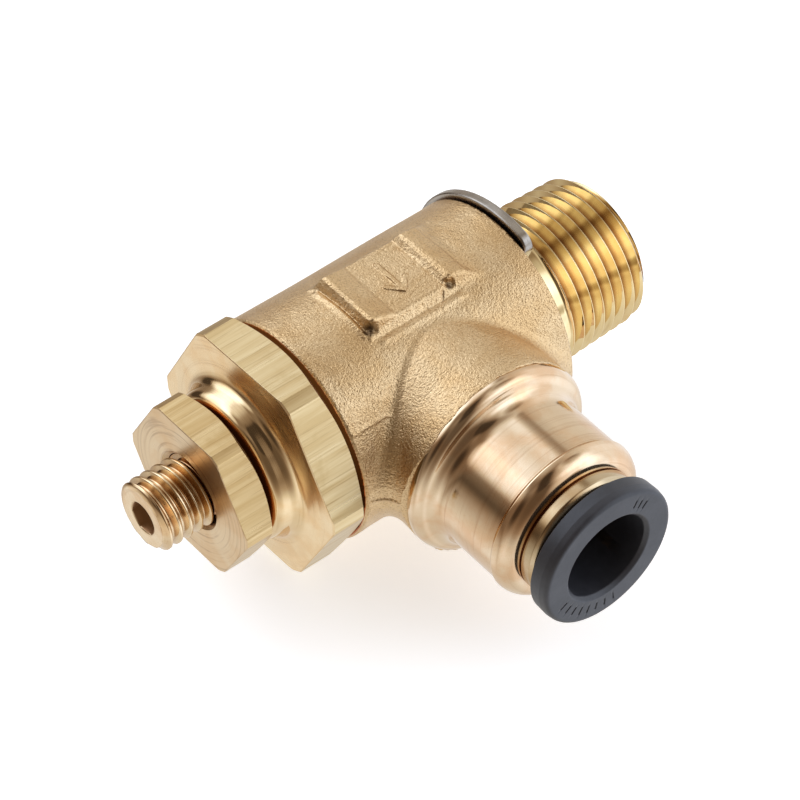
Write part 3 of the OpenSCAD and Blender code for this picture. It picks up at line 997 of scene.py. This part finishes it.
def build_port():
    """Turned end of the body: rim, concave hollow, barrel, lip and nose, with the pocket."""
    hollow = [
        (17.0 + 0.575 * (1 - t) ** 2, 8.95 + 0.575 * (1 + t) ** 2, 0.0)
        for t in np.linspace(0.5, -1, 16)[1:]
    ]
    # depth, radius, fillet
    outline = (
        [(14.9, PORT_BORE, 0.05), (14.9, 10.6, 0.1), (15.5, 11.02, 0.1), (15.7, 11.1, 0.05)]
        + arc((15.943, 9.844), 1.266, start=90.0, end=18.4, count=12)
        + hollow
        + [(22.5, 8.94, 0.0), (25.66, 8.93, 0.04), (25.98, 9.17, 0.3)]
        + arc((26.03, 7.12), 2.04, start=78.0, end=0.0, count=16)
        + [(28.07, 7.03, 0.02), (18.5, 7.03, 0.05), (18.5, PORT_BORE, 0.08)]
    )
    profile = rounded(outline, steps=6)
    keep = np.ones(len(profile), bool)
    keep[1:] = np.linalg.norm(np.diff(profile, axis=0), axis=1) > 1e-4
    mesh = polar("port_turned", ring_angles(256), profile[keep], round_port)
    area_normals(mesh)
    piece("port_turned", mesh, "swivel_body", PORT_BRASS, "body")


# ------------------------------------------------------------------ hex pieces
def hex_outline(flats, phase, rounding, turned_radius):
    """Angles and radii round a hexagon whose corners are turned down to a radius."""
    points_per_flat = 22
    half = np.pi / 6 - math.acos(flats / 2 / turned_radius)
    angles = np.radians(phase) + np.arange(6) * np.pi / 3
    angles = np.stack([angles - half, angles, angles + half], 1).ravel()
    corners = np.stack([turned_radius * np.cos(angles), turned_radius * np.sin(angles)], -1)
    corners = fillet(corners, [rounding, turned_radius, rounding] * 6, 5).reshape(6, 18, 2)
    out = []
    for i in range(6):
        out.append(corners[i])
        start, end = corners[i][-1], corners[(i + 1) % 6][0]
        s = np.linspace(0, 1, points_per_flat + 2)[1:-1, None]
        out.append(start + (end - start) * s)
    out = np.concatenate(out)
    return np.arctan2(out[:, 1], out[:, 0]), np.hypot(out[:, 0], out[:, 1])


def face_chamfer(hex_radius, inset, limit):
    """Radius of a turned hex face, and how far its 30 degree chamfer sets the flats back."""
    face = np.minimum(hex_radius - inset, limit)
    return face, (hex_radius - face) * TAN_30


def build_bonnet():
    inner_x, outer_x = -14.1, -18.8
    angles, hex_radius = hex_outline(BONNET_FLATS, phase=57.5, rounding=0.2, turned_radius=13.62)
    inner_face, inner_set = face_chamfer(hex_radius, inset=0.12, limit=12.02)
    outer_face, outer_set = face_chamfer(hex_radius, inset=0.11, limit=13.4)
    # x, radius, fillet
    outline = [
        (-7.0, 6.2, 0.12), (-7.0, 7.5, 0.25), (inner_x, 7.5, 0.0),
        (inner_x, inner_face, 0.03), (inner_x - inner_set, hex_radius, 0.04),
        (outer_x + outer_set, hex_radius, 0.03), (outer_x, outer_face, 0.03),
        (-18.86, 11.6, 0.4), (-19.15, 8.75, 1.5), (-21.75, 8.25, 1.35),
        (-22.0, 5.6, 0.15), (-22.0, 4.3, 0.05), (-21.7, 4.0, 0.02),
        (-17.6, 4.0, 0.03), (-17.6, 5.2, 0.1), (-16.2, 5.2, 0.1),
        (-16.2, 4.0, 0.03), (-15.6, 4.0, 0.03), (-15.6, 6.2, 0.3),
    ]
    mesh = polar("bonnet_hex", angles, rounded(outline, steps=6))
    area_normals(mesh)
    piece("bonnet_hex", mesh, "stem_assembly", BONNET_BRASS, "bonnet")


def build_nut():
    inner_x, outer_x = -22.39, -26.29
    angles, hex_radius = hex_outline(NUT_FLATS, phase=59.0, rounding=0.15, turned_radius=9.4)
    inner_face, inner_set = face_chamfer(hex_radius, inset=0.1, limit=8.12)
    outer_face, outer_set = face_chamfer(hex_radius, inset=0.09, limit=9.25)
    # x, radius, fillet
    outline = [
        (inner_x, 4.45, 0.05), (inner_x, inner_face, 0.03),
        (inner_x - inner_set, hex_radius, 0.03), (outer_x + outer_set, hex_radius, 0.025),
        (outer_x, outer_face, 0.025), (outer_x, 4.5, 0.05),
        (outer_x + 0.45, 4.0, 0.05), (inner_x - 0.45, 4.0, 0.05),
    ]
    mesh = polar("lock_nut_hex", angles, rounded(outline, steps=4))
    area_normals(mesh)
    piece("lock_nut_hex", mesh, "nut_body", NUT_BRASS, "lock_nut")


# --------------------------------------------------------------------- threads
def thread_rows(start, end, pitch, angles, crest, root, depth, root_round, crest_round):
    """x and height above the root of a right-hand thread, with one row for each angle.

    The points follow the helix, so edges stay crisp. crest and root are half widths in pitches.
    """
    half = pitch / 2
    tooth = np.array([
        (-half + root * pitch, 0.0), (-crest * pitch, depth),
        (crest * pitch, depth), (half - root * pitch, 0.0),
    ])
    wide = np.concatenate([[tooth[-1] - (pitch, 0)], tooth, [tooth[0] + (pitch, 0)]])
    radii = [0, root_round, crest_round, crest_round, root_round, 0]
    one = fillet(wide, radii, 3, closed=False)[1:-1]
    # two more points on each flank
    thirds = np.array([[0.33], [0.66]])
    flank_up = one[3] + (one[4] - one[3]) * thirds
    flank_down = one[11] + (one[12] - one[11]) * thirds
    one = np.concatenate([one[:4], flank_up, one[4:12], flank_down, one[12:]])
    turns = np.arange(-2, int(math.ceil((end - start) / pitch)) + 3)[:, None]
    along = (one[None, :, 0] + turns * pitch).ravel()
    heights = np.tile(one[:, 1], len(turns))
    xs, rises = [], []
    for angle in angles:
        x = start + along + angle / (2 * np.pi) * pitch
        clipped = np.clip(x, start, end)
        xs.append(clipped)
        rises.append(np.interp(clipped, x, heights))
    return np.array(xs), np.array(rises)


def build_screw():
    tip, depth = -32.0, 0.68
    angles = np.linspace(0, 2 * np.pi, 121)
    x, height = thread_rows(
        tip, -17.9, 1.25, angles,
        crest=0.10, root=0.10, depth=depth, root_round=0.14, crest_round=0.12,
    )
    run_out = fall(x, end=-17.9, length=1.4)
    radius = SCREW_RADIUS - (SCREW_RADIUS - (SCREW_RADIUS - depth + height)) * run_out
    # rounded lead at the -X end
    lead = rise(x, start=tip, length=0.75)
    cap = 3.28 + 0.72 * np.sqrt(1 - (1 - lead) ** 2)
    radius = np.where(x < -31.25, np.minimum(radius, cap), radius)
    # hex socket from its point out to the end face: x, radius
    sixth = np.pi / 3
    socket = 1.6 / np.cos((angles - np.radians(20) + np.pi / 6) % sixth - np.pi / 6)
    mouth = sections([
        (-26.1, 0.0), (-27.0, socket * 0.95), (-27.2, socket), (-29.5, socket), (-31.0, socket),
        (-31.8, socket), (-31.96, np.maximum(socket + 0.05, 1.85)),
        (tip, np.maximum(socket + 0.13, 1.95)), (tip, 2.6), (tip, 3.2),
    ])
    # plain end inside the valve: x, radius
    tail = [
        (-17.8, SCREW_RADIUS), (-14.5, SCREW_RADIUS), (-14.05, 3.5), (-14.0, 3.4), (-14.0, 1.48),
        (-14.55, 1.18), (-14.95, 0.7), (-15.13, 0.0),
    ]
    thread = np.stack([x, radius], -1)
    profile = np.concatenate([mouth, thread, all_round(tail, len(angles))], 1)
    mesh = polar("adjusting_screw_threaded", angles, profile, closed=False, ends="seam")
    area_normals(mesh)
    piece(
        "adjusting_screw_threaded", mesh, "screw_body", SCREW_BRASS,
        "adjusting_screw",
    )


# outside of the stem from its -X end to the thread, with its grooves and waist: x, radius
STEM_OUTSIDE = (
    (-14.1, 8.9), (-14.1, 9.6), (-13.75, 9.95), (-9.42, 9.95), (-9.4, 9.93), (-9.4, 8.72),
    (-9.38, 8.7), (-7.62, 8.7), (-7.6, 8.72), (-7.6, 9.93), (-7.58, 9.95), (5.0, 9.95),
    (5.5, 9.2), (8.4, 9.2), (8.9, 9.95), (9.58, 9.95), (9.6, 9.93), (9.6, 8.72), (9.62, 8.7),
    (11.38, 8.7), (11.4, 8.72), (11.4, 9.93), (11.42, 9.95), (13.05, 9.95), (13.3, 9.72),
    (13.35, 9.65), (13.35, 8.35), (13.4, 8.3), (13.52, 8.3), (13.55, 8.26), (13.55, 7.38),
    (13.58, 7.35), (14.79, 7.35), (14.81, 7.37), (14.81, 8.3), (14.83, 8.4),
)
STEM_END = 27.6
# end face and bore back to the -X end: x, radius
STEM_INSIDE = (
    (STEM_END, 7.4), (STEM_END, 5.75), (27.5, 5.6), (26.9, 5.0), (12.55, 5.0), (12.5, 5.02),
    (12.5, 6.58), (12.48, 6.6), (-6.93, 6.6), (-6.95, 6.62), (-6.95, 7.53), (-6.97, 7.55),
    (-12.68, 7.55), (-12.7, 7.58), (-12.7, 8.88),
)


def build_stem():
    depth = 1.12
    angles = np.linspace(0, 2 * np.pi, 201)
    x, height = thread_rows(
        16.25 - STEM_PITCH, STEM_END, STEM_PITCH, angles,
        crest=0.028, root=0.03, depth=depth, root_round=0.05, crest_round=0.02,
    )
    # tapered: the radius drops 1 mm in 32
    radius = 8.68 - (x - 16.9) / 32.0 - depth + height
    run_in = rise(x, start=16.55, length=0.3)
    run_in = run_in * run_in * (3 - 2 * run_in)
    radius = 8.46 * (1 - run_in) + radius * run_in
    radius = np.minimum(radius, 7.5 + (STEM_END - x) * 0.9)
    count = len(angles)
    thread = np.stack([x, radius], -1)
    profile = np.concatenate(
        [all_round(STEM_OUTSIDE, count), thread, all_round(STEM_INSIDE, count)], 1
    )
    mesh = polar("stem_threaded", angles, profile, ends="seam")
    # six holes through the wall at the waist
    holes = bmesh.new()
    for i in range(6):
        place = (
            Matrix.Translation(((7.0 + PORT_X) * MM, 0, 0))
            @ Matrix.Rotation(math.radians(60 * (i + 0.5)), 4, "X")
            @ Matrix.Translation((0, 0, 0.0085))
        )
        bmesh.ops.create_cone(
            holes, cap_ends=True, segments=40, radius1=0.0016, radius2=0.0016, depth=0.006,
            matrix=place,
        )
    mesh = cut(mesh, holes)
    area_normals(mesh)
    piece("stem_threaded", mesh, "stem_assembly", THREAD_BRASS, "stem")


# ---------------------------------------------------- rings, collar and spring
def build_ring():
    """Open ring on the stem, with its outer corners rounded at the gap."""
    x_low, x_high = 13.66, 14.76
    inner_radius, outer_radius, corner = 7.4, 13.02, 1.5
    start, end = math.radians(235), math.radians(360 + 111)
    angles = start + (end - start) * np.linspace(0, 1, 150)
    # closer sections where the outer corners are rounded
    close = np.radians(np.array([0.0, 0.15, 0.4, 0.8, 1.3, 2.0, 2.9, 4.0, 5.2, 6.4, 7.5]))
    middle = angles[(angles > start + close[-1]) & (angles < end - close[-1])]
    angles = np.unique(np.concatenate([start + close, end - close, middle]))
    from_gap = np.minimum(angles - start, end - angles) * 12.0
    into = np.clip(corner - from_gap, 0, corner)
    outer = outer_radius - (corner - np.sqrt(np.maximum(corner * corner - into * into, 0)))
    outline = [
        (x_low, inner_radius, 0.1), (x_low, outer, 0.24),
        (x_high, outer, 0.24), (x_high, inner_radius, 0.1),
    ]
    mesh = polar("retaining_ring_open", angles, rounded(outline, steps=4), ends="cap")
    area_normals(mesh)
    piece(
        "retaining_ring_open", mesh, "stem_assembly", RING_STEEL, "retaining_ring"
    )


def build_cartridge():
    # depth, radius, fillet
    outline = [
        (22.5, 6.55, 0.05), (22.5, 7.0, 0.05), (28.12, 7.0, 0.0), (28.2, 7.0, 0.02),
        (28.2, 7.2, 0.12), (29.35, 7.2, 0.35), (29.8, 6.85, 0.25), (29.8, 6.05, 0.2),
        (24.4, 6.05, 0.05), (24.4, 6.55, 0.05),
    ]
    profile = rounded(outline, steps=5)
    mesh = polar("cartridge_ring_turned", ring_angles(144), profile, round_port)
    area_normals(mesh)
    piece(
        "cartridge_ring_turned", mesh, "swivel_body", CARTRIDGE_BRASS,
        "cartridge_ring",
    )


def build_collar():
    # depth, radius, fillet
    outline = [
        (23.6, 4.9, 0.1), (23.5, 6.1, 0.1), (23.8, 6.45, 0.05), (24.25, 6.45, 0.05),
        (24.35, 5.99, 0.05), (30.6, 5.99, 0.15), (30.6, 8.0, 0.1), (30.7, 8.12, 0.1),
        (32.0, 8.18, 0.3), (33.0, 8.05, 0.62), (33.0, 5.3, 0.3), (32.6, 4.93, 0.3),
        (31.8, 4.9, 0.3),
    ]
    profile = rounded(outline, steps=6)
    mesh = polar("release_collar_moulded", ring_angles(192), profile, round_port)
    # four slots in the sleeve and sunk dashes on the face: degrees, y, radius, size in metres
    slot = (-0.02475, 0.0057, (0.0026, 0.0055, 0.001))
    dash = (-0.033, 0.00645, (0.00095, 0.00022, 0.00022))
    cuts = [(45 + 90 * k, *slot) for k in range(4)]
    dash_degrees = (47, 54, 61, 208, 218, 228, 238, 248, 258, 268, 278)
    cuts += [(degrees, *dash) for degrees in dash_degrees]
    blocks = bmesh.new()
    for degrees, y, radius, size in cuts:
        place = (
            Matrix.Translation((PORT_X * MM, y, 0))
            @ Matrix.Rotation(-math.radians(degrees), 4, "Y")
            @ Matrix.Translation((radius, 0, 0))
        )
        bmesh.ops.create_cube(blocks, size=1.0, matrix=place @ Matrix.Diagonal((*size, 1)))
    mesh = cut(mesh, blocks)
    area_normals(mesh)
    piece(
        "release_collar_moulded", mesh, "release_collar_body", BLACK_PLASTIC,
        "release_collar",
    )


def build_spring():
    """Two halves that meet at mid length."""
    wire, coil, turns, segments = 0.7, 4.9, 5.0, 20
    start, end = SPRING_START + wire, SPRING_END - wire
    closed_pitch = 2 * wire + 0.03
    open_pitch = (end - start - 1.5 * closed_pitch) / (turns - 1.5)
    around_wire = ring_angles(segments)
    # name, first turn, last turn, joint, how far the joint closes it
    for name, first, last, joint, travel in (
        ("spring_rear", 0.0, turns / 2, "button_feed", 2.5),
        ("spring_front", turns / 2, turns, "poppet_lift", 2.0),
    ):
        t = np.linspace(first, last, 121)
        angle = (2 * np.pi * t)[:, None]
        # three quarters of a turn lie closed at each end
        shut = np.minimum(t, 0.75) + np.maximum(t - turns + 0.75, 0)
        x = start + shut * closed_pitch + (t - shut) * open_pitch
        radius = (coil + wire * np.cos(around_wire))[None]
        points = np.stack([
            x[:, None] + wire * np.sin(around_wire)[None],
            radius * np.cos(angle),
            radius * np.sin(angle),
        ], -1).reshape(-1, 3)
        i, j = np.meshgrid(np.arange(len(t) - 1), np.arange(segments), indexing="ij")
        here, ahead, j_next = i * segments, (i + 1) * segments, (j + 1) % segments
        quads = np.stack([here + j, ahead + j, ahead + j_next, here + j_next], -1)
        mesh = quad_mesh(name, points, quads.reshape(-1, 4))
        bases = (0, (len(t) - 1) * segments)
        add_faces(mesh, [range(base, base + segments) for base in bases])
        tidy(mesh)
        half = piece(name, mesh, "stem_assembly", SPRING_STEEL, "spring")
        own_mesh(half)


build_body()
build_port()
build_bonnet()
build_nut()
build_screw()
build_stem()
build_ring()
build_cartridge()
build_collar()
build_spring()

# pieces that keep their CAD shape
CAD_MATERIALS = {
    "lock_nut_seal": RUBBER, "screw_o_ring": RUBBER, "bonnet_o_ring": RUBBER,
    "seat_o_ring": RUBBER, "swivel_o_ring_rear": RUBBER, "swivel_o_ring_front": RUBBER,
    "tube_o_ring": RUBBER, "poppet_seal": RUBBER, "thrust_ball": GROUND_STEEL,
    "spring_button": GROUND_STEEL, "seal_retainer": GROUND_STEEL, "poppet": INNER_BRASS,
    "valve_seat": INNER_BRASS, "backup_ring": WHITE_PLASTIC, "grab_ring": SPRING_STEEL,
}
for node_name, cad_material in CAD_MATERIALS.items():
    materials = frame["nodes"][node_name].data.materials
    materials.clear()
    materials.append(cad_material)


# ------------------------------------------------------ camera, floor and light
def build_camera(scene):
    """Long lens from above, on the -X, -Y side."""
    right = Vector((0.7713, -0.6364, 0.0))
    up = Vector((0.4688, 0.5681, 0.6764))
    back = Vector((-0.4305, -0.5217, 0.7366))
    place = (right * 0.65 - up * 3.35 + back * 384.9 + Vector((PORT_X, 0, 0))) * MM
    data = bpy.data.cameras.new("camera")
    data.sensor_width = 36.0
    data.lens = 169.731
    data.clip_start = 0.01
    data.clip_end = 20
    camera = bpy.data.objects.new("camera", data)
    turn = Matrix((right, up, back)).transposed().to_4x4()
    camera.matrix_world = Matrix.Translation(place) @ turn
    scene.collection.objects.link(camera)
    scene.camera = camera


def build_floor():
    """White floor that only the camera sees."""
    g = new_material("floor_white")
    glow = g.node("ShaderNodeEmission", Color=(1, 1, 1), Strength=0.6)
    matt = g.node("ShaderNodeBsdfDiffuse", Color=(0.86, 0.86, 0.86))
    both = g.node("ShaderNodeAddShader", None, {0: glow.outputs[0], 1: matt.outputs[0]})
    g.put(g.output.inputs[0], both.outputs[0])
    mesh = bpy.data.meshes.new("floor")
    corners = [(x, y, FLOOR_Z * MM) for x, y in ((-3, -3), (3, -3), (3, 3), (-3, 3))]
    mesh.from_pydata(corners, [], [(0, 1, 2, 3)])
    mesh.materials.append(g.owner)
    floor = link_object("floor", mesh)
    for flag in ("glossy", "diffuse", "transmission", "shadow"):
        setattr(floor, "visible_" + flag, False)


ROOM_LEVEL = 1.253  # brightness of the sky between the patches
LIGHT_LEVEL = 0.965  # scale of the whole surround

# soft boxes (positive) and dark cards (negative) as smooth patches of the sky:
# direction, full within and gone beyond (degrees), amount
SKY_PATCHES = (
    ((-0.305, 0.818, 0.487), 5, 36, 1.54),
    ((0.408, -0.491, 0.770), 3, 36, 0.87),
    ((0.477, -0.817, 0.323), 1, 35, 0.91),
    ((-0.685, 0.598, -0.417), 1, 37, 0.68),
    ((0.468, -0.617, -0.633), 1, 41, 0.28),
    ((-0.008, 0.674, 0.738), 15, 35, 0.59),
    ((-0.351, -0.820, 0.451), 1, 74, -1.10),
    ((-0.162, 0.261, 0.952), 1, 38, -0.36),
    ((-0.837, 0.507, 0.206), 1, 69, -1.01),
    ((0.363, 0.926, 0.099), 1, 60, -0.60),
    ((0.253, 0.103, 0.962), 1, 51, -0.50),
    ((-0.582, 0.755, -0.301), 1, 46, -0.36),
    ((0.169, 0.980, -0.108), 1, 24, -0.35),
    ((0.025, 0.030, -0.999), 20, 69, -0.40),
    ((0.498, -0.181, 0.848), 2, 19, -0.85),
    ((0.423, -0.906, 0.000), 1, 9, -0.95),
    ((0.230, 0.707, 0.669), 2, 19, 0.55),
    ((0.465, 0.499, 0.731), 1, 9, -0.36),
    ((-0.603, 0.454, 0.656), 4, 19, 0.68),
    ((-0.076, -0.432, 0.899), 2, 26, -0.34),
    ((-0.157, 0.893, -0.423), 2, 26, -0.30),
    ((0.000, 0.993, -0.122), 2, 14, -0.20),
    ((0.492, -0.587, 0.643), 2, 18, -0.22),
)


def build_sky(scene):
    scene.world = bpy.data.worlds.new("studio")
    g = Graph(scene.world, "ShaderNodeOutputWorld")
    view = g.texcoord()["Generated"]
    level = ROOM_LEVEL
    for direction, inner, outer, amount in SKY_PATCHES:
        inputs = {0: view, 1: Vector(direction).normalized()}
        dot = g.node("ShaderNodeVectorMath", {"operation": "DOT_PRODUCT"}, inputs)
        patch = g.ramp(
            dot.outputs["Value"],
            start=math.cos(math.radians(outer)), end=math.cos(math.radians(inner)),
            low=0.0, high=amount,
        )
        level = g.add(level, patch)
    level = g.mul(g.math("MAXIMUM", level, 0.07), LIGHT_LEVEL)
    # the dark side of the room is warm, the soft boxes are slightly cool
    warm, neutral, cool = (1.0, 0.74, 0.54), (1.0, 0.97, 0.93), (0.97, 1.06, 1.24)
    tint = g.mix(g.ramp(level, start=0.1, end=0.8), warm, neutral)
    tint = g.mix(g.ramp(level, start=0.75, end=1.45), tint, cool)
    studio = g.node("ShaderNodeBackground", Color=tint, Strength=level)
    # the camera itself sees plain white
    white = g.node("ShaderNodeBackground", Color=(1, 1, 1), Strength=1.0)
    seen = g.node("ShaderNodeLightPath").outputs["Is Camera Ray"]
    inputs = {0: seen, 1: studio.outputs[0], 2: white.outputs[0]}
    g.put(g.output.inputs[0], g.node("ShaderNodeMixShader", None, inputs).outputs[0])


studio_scene = bpy.context.scene
studio_scene.view_settings.view_transform = "Standard"
studio_scene.view_settings.look = "None"
build_camera(studio_scene)
build_floor()
build_sky(studio_scene)
